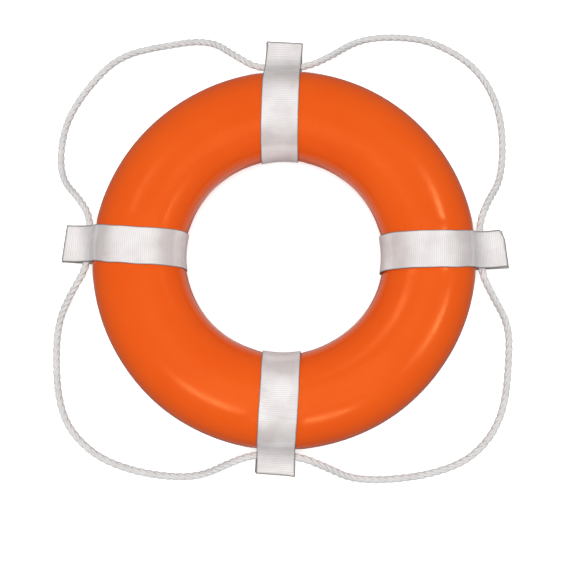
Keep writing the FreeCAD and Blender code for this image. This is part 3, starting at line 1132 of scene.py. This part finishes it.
@dataclass
class Seam:
    """The thread that holds one tab's two layers together: a box of stitches on each face."""

    becket: Becket
    inset: float = 3.4 * MM
    width: float = 42 * MM
    pitch: float = 3.3 * MM
    thread: float = 0.8 * MM

    def tree(self) -> bpy.types.NodeTree:
        """Make the tree that lays a stitch at every pitch along the sewing line.

        Returns:
            The tree, with inputs for the pitch, the thread and the material.
        """
        tree, given = new_tree("stitches", {"Pitch": "NodeSocketFloat",
                                            "Thread": "NodeSocketFloat",
                                            "Material": "NodeSocketMaterial"})
        curve = add_node(tree, "GeometryNodeMeshToCurve", {0: given.outputs["Geometry"]})
        even = add_node(tree, "GeometryNodeResampleCurve",
                        {"Curve": curve.outputs[0], "Length": given.outputs["Pitch"]},
                        mode="LENGTH")
        points = add_node(tree, "GeometryNodeCurveToPoints", {"Curve": even.outputs[0]},
                          mode="EVALUATED")
        reach = add_node(tree, "ShaderNodeMath", {0: given.outputs["Pitch"], 1: 0.36},
                         operation="MULTIPLY")
        back = add_node(tree, "ShaderNodeMath", {0: reach.outputs[0], 1: -1.0},
                        operation="MULTIPLY")
        start = add_node(tree, "ShaderNodeCombineXYZ", {"Z": back.outputs[0]})
        middle = add_node(tree, "ShaderNodeCombineXYZ", {"Y": given.outputs["Thread"]})
        finish = add_node(tree, "ShaderNodeCombineXYZ", {"Z": reach.outputs[0]})
        arch = add_node(tree, "GeometryNodeCurveQuadraticBezier",
                        {"Resolution": 6, "Start": start.outputs[0],
                         "Middle": middle.outputs[0], "End": finish.outputs[0]})
        half = add_node(tree, "ShaderNodeMath", {0: given.outputs["Thread"], 1: 0.5},
                        operation="MULTIPLY")
        walked = add_node(tree, "GeometryNodeSplineParameter")
        stitch = sweep_strand(tree, arch, walked, half.outputs[0], 8)
        laid = add_node(tree, "GeometryNodeInstanceOnPoints",
                        {"Points": points.outputs["Points"], "Instance": stitch,
                         "Rotation": points.outputs["Rotation"]})
        end_tree(tree, laid.outputs[0], given.outputs["Material"])
        return tree

    def build(self, ring: Ring, tree: bpy.types.NodeTree,
              material: bpy.types.Material) -> bpy.types.Object:
        """Lay the stitches on both faces of the tab.

        Args:
            ring: the body, for the mid-height.
            tree: the stitch tree.
            material: the thread.

        Returns:
            The seam, which stands for the frame's own.
        """
        becket = self.becket
        near = becket.tunnel_tip + self.inset
        far = becket.tab_end - self.inset
        half = self.width / 2
        vertices, edges = [], []
        for face in (1, -1):
            height = face * (becket.thickness + becket.layer_gap)
            corners = ((near, -half), (near, half), (far, half), (far, -half))
            first = len(vertices)
            for radius, aside in corners:
                drift = becket.drift.at(radius, face > 0)
                vertices.append(becket.place(Vector((radius, height)), Vector((0, 1)),
                                             aside + drift, 0.0, ring))
            order = range(4) if face > 0 else range(3, -1, -1)
            loop = [first + corner for corner in order]
            edges += list(zip(loop, loop[1:] + loop[:1]))
        mesh = bpy.data.meshes.new("seam_line")
        mesh.from_pydata(vertices, edges, [])
        seam = bpy.data.objects.new(f"becket_stitches_{becket.side.value}", mesh)
        bpy.context.scene.collection.objects.link(seam)
        apply_tree(seam, tree, {"Pitch": self.pitch, "Thread": self.thread,
                                "Material": material})
        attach(seam, BODY)
        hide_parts(f"becket_seam_{becket.side.value}")
        log.info("seam %s: %d faces", becket.side.value, len(seam.data.polygons))
        return seam


# ------------------------------------------------------------------ grab line
MID = 46.4      # the rope's centre inside the beckets, in millimetres over the floor
LOW = 5.0       # and where it lies on the floor

# The rope's route in millimetres, from its butt inside the bottom becket anticlockwise.
ROUTE = [
    (-7.7, -260.4, MID), (18.8, -261.2, MID), (52, -274, 38), (95, -295, LOW),
    (173, -291, LOW), (236, -273, LOW), (273, -241, LOW), (294, -199, LOW),
    (302, -140, LOW), (304, -89, LOW), (275, -50, 37), (260.5, -22, MID),
    (259, 36, MID), (272, 70, 38), (303, 116, LOW), (305, 209, LOW),
    (274, 275, LOW), (213, 315, LOW), (156, 323, LOW), (104, 318, LOW),
    (58, 277, 37), (25, 260, MID), (-35, 259.2, MID), (-66, 281, 38),
    (-108, 320, LOW), (-178, 310, LOW), (-228, 298, LOW), (-260, 274, LOW),
    (-298, 223, LOW), (-315, 176, LOW), (-314, 116, LOW), (-276, 77, 37),
    (-257.7, 46.5, MID), (-261, -16, MID), (-280, -44, 39), (-309, -86, LOW),
    (-308, -156, LOW), (-299, -205, LOW), (-281, -237, LOW), (-246, -267, LOW),
    (-199, -284, LOW), (-150, -291.5, LOW), (-108, -290, LOW), (-66, -270, 36.5),
    (-35.7, -259.5, MID), (-8.7, -260.4, MID),
]


@dataclass
class GrabLine:
    """Three-strand rope through all four beckets, its ends butted and seized in one of them."""

    diameter: float = 9.5 * MM
    strands: int = 3
    strand_radius: float = 2.50 * MM
    lay: float = 31 * MM
    step: float = 1.5 * MM
    twine: float = 1.1 * MM
    seizing_length: float = 27 * MM

    def route(self) -> list[Vector]:
        """Read the rope's smooth line from a spline through its route.

        Returns:
            Points in metres, close together.
        """
        curve = bpy.data.curves.new("rope_line", "CURVE")
        curve.dimensions = "3D"
        curve.resolution_u = 14
        spline = curve.splines.new("NURBS")
        spline.points.add(len(ROUTE) - 1)
        for point, place in zip(spline.points, ROUTE):
            point.co = (*(Vector(place) * MM), 1.0)
        spline.order_u = 3
        spline.use_endpoint_u = True
        holder = bpy.data.objects.new("rope_line", curve)
        bpy.context.scene.collection.objects.link(holder)
        depsgraph = bpy.context.evaluated_depsgraph_get()
        line = bpy.data.meshes.new_from_object(holder.evaluated_get(depsgraph))
        places = [vertex.co.copy() for vertex in line.vertices]
        bpy.data.objects.remove(holder)
        bpy.data.curves.remove(curve)
        bpy.data.meshes.remove(line)
        return places

    def tree(self) -> bpy.types.NodeTree:
        """Make the tree that lays strands round a line.

        Returns:
            The tree, with inputs for the strands' number, size and lay.
        """
        tree, given = new_tree("laid_rope", {
            "Strands": "NodeSocketInt", "Offset": "NodeSocketFloat",
            "Strand Radius": "NodeSocketFloat", "Lay": "NodeSocketFloat",
            "Step": "NodeSocketFloat", "Material": "NodeSocketMaterial"})
        curve = add_node(tree, "GeometryNodeMeshToCurve", {0: given.outputs["Geometry"]})
        even = add_node(tree, "GeometryNodeResampleCurve",
                        {"Curve": curve.outputs[0], "Length": given.outputs["Step"]},
                        mode="LENGTH")
        copies = add_node(tree, "GeometryNodeDuplicateElements",
                          {"Geometry": even.outputs[0], "Amount": given.outputs["Strands"]},
                          domain="SPLINE")
        walked = add_node(tree, "GeometryNodeSplineParameter")
        turns = add_node(tree, "ShaderNodeMath",
                         {0: walked.outputs["Length"], 1: given.outputs["Lay"]},
                         operation="DIVIDE")
        share = add_node(tree, "ShaderNodeMath",
                         {0: copies.outputs["Duplicate Index"], 1: given.outputs["Strands"]},
                         operation="DIVIDE")
        both = add_node(tree, "ShaderNodeMath", {0: turns.outputs[0], 1: share.outputs[0]},
                        operation="ADD")
        angle = add_node(tree, "ShaderNodeMath", {0: both.outputs[0], 1: TURN},
                         operation="MULTIPLY")
        normal = add_node(tree, "GeometryNodeInputNormal")
        tangent = add_node(tree, "GeometryNodeInputTangent")
        turned = add_node(tree, "ShaderNodeVectorRotate",
                          {"Vector": normal.outputs[0], "Axis": tangent.outputs[0],
                           "Angle": angle.outputs[0]}, rotation_type="AXIS_ANGLE")
        aside = add_node(tree, "ShaderNodeVectorMath",
                         {0: turned.outputs[0], "Scale": given.outputs["Offset"]},
                         operation="SCALE")
        wound = add_node(tree, "GeometryNodeSetPosition",
                         {"Geometry": copies.outputs["Geometry"],
                          "Offset": aside.outputs[0]})
        body = sweep_strand(tree, wound, walked, given.outputs["Strand Radius"], 12)
        end_tree(tree, body, given.outputs["Material"])
        return tree

    def build(self, material: bpy.types.Material,
              twine: bpy.types.Material) -> list[bpy.types.Object]:
        """Make the rope and its seizing.

        Args:
            material: the rope's fibre.
            twine: the seizing's.

        Returns:
            The rope and the seizing.
        """
        places = self.route()
        mesh = bpy.data.meshes.new("grab_rope")
        mesh.from_pydata(places, [(n, n + 1) for n in range(len(places) - 1)], [])
        rope = bpy.data.objects.new("grab_rope", mesh)
        bpy.context.scene.collection.objects.link(rope)
        apply_tree(rope, self.tree(), {
            "Strands": self.strands, "Offset": self.diameter / 2 - self.strand_radius,
            "Strand Radius": self.strand_radius, "Lay": self.lay, "Step": self.step,
            "Material": material})
        seizing = self.build_seizing(places, twine)
        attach(rope, BODY)
        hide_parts("grab_line")
        return [rope, seizing]

    def build_seizing(self, places: list[Vector],
                      material: bpy.types.Material) -> bpy.types.Object:
        """Wind twine round the rope's butted ends.

        Args:
            places: the rope's line, whose two ends meet.
            material: the twine.

        Returns:
            The seizing, which stands for the frame's own.
        """
        tree, given = new_tree("seizing_turns", {
            "Turns": "NodeSocketFloat", "Radius": "NodeSocketFloat",
            "Length": "NodeSocketFloat", "Twine": "NodeSocketFloat",
            "Material": "NodeSocketMaterial"})
        spiral = add_node(tree, "GeometryNodeCurveSpiral",
                          {"Resolution": 24, "Rotations": given.outputs["Turns"],
                           "Start Radius": given.outputs["Radius"],
                           "End Radius": given.outputs["Radius"],
                           "Height": given.outputs["Length"]})
        walked = add_node(tree, "GeometryNodeSplineParameter")
        body = sweep_strand(tree, spiral, walked, given.outputs["Twine"], 10)
        end_tree(tree, body, given.outputs["Material"])
        seizing = mesh_object("rope_seizing_twine", [(0, 0, 0)], [], material)
        apply_tree(seizing, tree, {
            "Turns": self.seizing_length / self.twine,
            "Radius": self.diameter / 2 + self.twine / 2,
            "Length": self.seizing_length, "Twine": self.twine / 2, "Material": material})
        centre = (places[0] + places[-1]) / 2
        ahead = (places[1] - places[0]).normalized()
        turned = ahead.to_track_quat("Z", "Y").to_matrix().to_4x4()
        middle = Matrix.Translation((0, 0, -self.seizing_length / 2))
        seizing.data.transform(Matrix.Translation(centre) @ turned @ middle)
        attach(seizing, BODY)
        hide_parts("rope_seizing")
        log.info("seizing: %.0f turns", self.seizing_length / self.twine)
        return seizing


# ------------------------------------------------------------------ studio
@dataclass(frozen=True)
class Softbox:
    """A rectangular light that hangs over the ring and faces one spot on its front.

    Angles are in degrees: azimuth is the side of the spot that it hangs on, and zenith is how
    far it is from straight above. A grid in front of it narrows its fan of light, so that
    only the ring near the spot mirrors it. Only the lights that fill brighten matt surfaces,
    and only the mirrored ones show in glossy surfaces. Radiance 1 shows a white card as white.
    """

    name: str
    azimuth: float
    zenith: float
    size: tuple[float, float]
    radiance: float
    spot: tuple[float, float] = (0.0, 0.0)
    roll: float = 0.0
    fan: float = 22.0
    distance: float = 1.8
    mirrored: bool = True
    fills: bool = False

    def hang(self) -> None:
        """Add the light to the scene."""
        data = bpy.data.lights.new(self.name, "AREA")
        data.shape = "RECTANGLE"
        data.size, data.size_y = self.size
        data.spread = math.radians(self.fan)
        half = data.spread / 2
        kept = 1 - half / math.tan(half)
        data.energy = self.radiance * math.pi * self.size[0] * self.size[1] * kept
        lamp = bpy.data.objects.new(self.name, data)
        bpy.context.scene.collection.objects.link(lamp)
        side, up = math.radians(self.azimuth), math.radians(self.zenith)
        away = Vector((math.cos(side) * math.sin(up), math.sin(side) * math.sin(up),
                       math.cos(up)))
        where, radius = math.radians(self.spot[0]), self.spot[1]
        lit = Vector((radius * math.cos(where), radius * math.sin(where), 90 * MM))
        lamp.matrix_world = (Matrix.Translation(lit + away * self.distance)
                             @ away.to_track_quat("Z", "Y").to_matrix().to_4x4()
                             @ Matrix.Rotation(math.radians(self.roll), 4, "Z"))
        lamp.visible_glossy = self.mirrored
        lamp.visible_diffuse = self.fills
        lamp.visible_camera = False


@dataclass
class Studio:
    """The camera, a white light table and soft light."""

    distance: float = 1.225
    tilt: float = 9.70
    lean: float = 1.42
    lens: float = 57.64
    shift: tuple[float, float] = (0.0083, -0.0578)
    target_height: float = 46.4 * MM
    room: float = 0.27
    lights: tuple[Softbox, ...] = (
        Softbox("overhead_fill", 272, 5, (1.2, 1.2), 10.6, fan=179.0, distance=2.4,
                mirrored=False, fills=True),
        Softbox("table_bounce", 90, 180, (0.20, 0.20), 0.5, fan=179.0, distance=89 * MM,
                fills=True),
        Softbox("strip_right_back", 36, 27, (0.30, 0.11), 30.0, (14, 208.5 * MM), -18),
        Softbox("strip_front_left", 227, 19, (0.44, 0.10), 26.0, (246, 210.5 * MM), 11),
        Softbox("strip_front", 284, 29, (0.34, 0.10), 34.0, (281, 219.0 * MM), -9),
        Softbox("strip_right", 348, 32, (0.46, 0.12), 23.0, (334, 217.5 * MM), -22),
        Softbox("strip_back", 135, 31, (0.48, 0.11), 15.0, (330, 164.5 * MM), -42),
        Softbox("strip_right_high", 356, 34, (0.30, 0.10), 12.0, (160, 156.8 * MM), 12),
    )

    def add_camera(self) -> None:
        """Look down on the ring, from a little to its bottom and right."""
        data = bpy.data.cameras.new("camera")
        data.lens = self.lens
        data.sensor_width = 36.0
        data.shift_x, data.shift_y = self.shift
        data.clip_end = 20.0
        camera = bpy.data.objects.new("camera", data)
        bpy.context.scene.collection.objects.link(camera)
        turn = (Matrix.Rotation(math.radians(self.tilt), 3, "X")
                @ Matrix.Rotation(math.radians(self.lean), 3, "Y"))
        back = turn @ Vector((0, 0, 1))
        place = Vector((0, 0, self.target_height)) + back * self.distance
        camera.matrix_world = Matrix.Translation(place) @ turn.to_4x4()
        bpy.context.scene.camera = camera

    def add_floor(self, material: bpy.types.Material) -> None:
        """Lay a white floor that sweeps up all round into a wall.

        Args:
            material: the floor's.
        """
        outline = [(0.0, 0.0), (1.5, 0.0), (3.0, 0.0)]
        reach, bend, wall = 4.0, 2.0, 3.0
        outline += [(reach + bend * math.sin(turn), bend * (1 - math.cos(turn)))
                    for turn in (step * math.pi / 32 for step in range(17))]
        outline.append((reach + bend, bend + wall))
        around = 64
        vertices = [(radius * math.cos(TURN * turn / around),
                     radius * math.sin(TURN * turn / around), height)
                    for radius, height in outline[1:] for turn in range(around)]
        centre = len(vertices)
        vertices.append((0, 0, 0))
        faces = [[centre, turn, (turn + 1) % around] for turn in range(around)]
        for row in range(len(outline) - 2):
            for turn in range(around):
                ahead = (turn + 1) % around
                faces.append([row * around + turn, (row + 1) * around + turn,
                              (row + 1) * around + ahead, row * around + ahead])
        floor = mesh_object("white_cove", vertices, faces, material)
        floor.visible_diffuse = False
        floor.visible_glossy = False
        floor.visible_shadow = False

    def add_light(self) -> None:
        """Hang the softboxes in a pale room."""
        for light in self.lights:
            light.hang()
        world = bpy.data.worlds.new("pale_room")
        world.use_nodes = True
        world.node_tree.nodes.clear()
        sky = add_node(world.node_tree, "ShaderNodeBackground",
                       {"Color": (1, 1, 1, 1), "Strength": self.room})
        add_node(world.node_tree, "ShaderNodeOutputWorld", {0: sky.outputs[0]})
        bpy.context.scene.world = world
        bpy.context.scene.view_settings.view_transform = "Standard"


# ------------------------------------------------------------------ the whole lifebuoy
def make_beckets() -> list[Becket]:
    """Set out the four beckets, each with its own lie."""
    return [
        Becket(Side.RIGHT, 1.5,
               Drift(tab=1.0 * MM, rim=-2.0 * MM, shoulder=-5.0 * MM, front=-4.7 * MM,
                     hole=-4.1 * MM, back=2.5 * MM, under_tab=-0.9 * MM),
               tab_cut=-1.8 * MM, under_layer=0.8 * MM, corner_cut=4.5 * MM,
               pulled_width=48.6 * MM),
        Becket(Side.TOP, 90.8,
               Drift(tab=-5.0 * MM, rim=-1.6 * MM, shoulder=0.0, front=1.9 * MM,
                     hole=3.3 * MM, back=1.0 * MM, under_tab=-4.4 * MM),
               tab_longer=2.0 * MM, tab_cut=1.9 * MM, under_layer=-1.2 * MM,
               pulled_width=49.4 * MM,
               creases=(Crease(177 * MM, 0.02, 1.1 * MM, 0.7 * MM),)),
        Becket(Side.LEFT, 177.0,
               Drift(tab=0.1 * MM, rim=-0.2 * MM, shoulder=4.0 * MM, front=5.1 * MM,
                     hole=3.4 * MM, back=-2.0 * MM, under_tab=0.9 * MM),
               tab_cut=1.3 * MM, under_layer=-0.8 * MM, pulled_width=48.8 * MM),
        Becket(Side.BOTTOM, 268.2,
               Drift(tab=0.0, rim=0.1 * MM, shoulder=1.3 * MM, front=2.5 * MM,
                     hole=3.0 * MM, back=0.0, under_tab=-1.6 * MM),
               tab_longer=-3.0 * MM, tab_cut=0.8 * MM, under_layer=-1.4 * MM,
               corner_cut=-0.6 * MM, pulled_width=49.0 * MM,
               creases=(Crease(183 * MM, 0.30, 2.3 * MM, 1.3 * MM),
                        Crease(191 * MM, 0.26, 2.1 * MM, 1.1 * MM),
                        Crease(202 * MM, 0.24, 2.3 * MM, 1.2 * MM),
                        Crease(214 * MM, 0.14, 2.2 * MM, 0.8 * MM))),
    ]


def main() -> None:
    """Build the lifebuoy on its frame, and the studio round it."""
    logging.basicConfig(level=logging.INFO, format="%(name)s: %(message)s")
    studio = Studio()
    studio.add_camera()
    rope_fibre = TwistedYarn("laid_rope_fibre", "#F6F6F5", "#CBC9C7", yarns=10, lay=14 * MM,
                             depth=0.16 * MM)
    thread = TwistedYarn("sewing_thread", "#F2EEEC", "#BDB6B2", yarns=3, lay=2 * MM,
                         depth=0.08 * MM)
    twine = TwistedYarn("waxed_twine", "#B9A178", "#7C6742", yarns=3, lay=3 * MM,
                        depth=0.12 * MM, roughness=0.45)
    GrabLine().build(rope_fibre.build(), twine.build())

    ring = Ring()
    beckets = make_beckets()
    ring.build_skin(DippedVinyl().build(), beckets)
    ring.build_core(ClosedCellFoam().build(), CementFilm().build(), beckets)
    webbing, sewing = WovenWebbing().build(), thread.build()
    stitches = Seam(beckets[0]).tree()
    for becket in beckets:
        becket.build_band(ring, webbing)
        Seam(becket).build(ring, stitches, sewing)

    studio.add_floor(OpalAcrylic().build())
    studio.add_light()


if __name__ == "__main__":
    main()
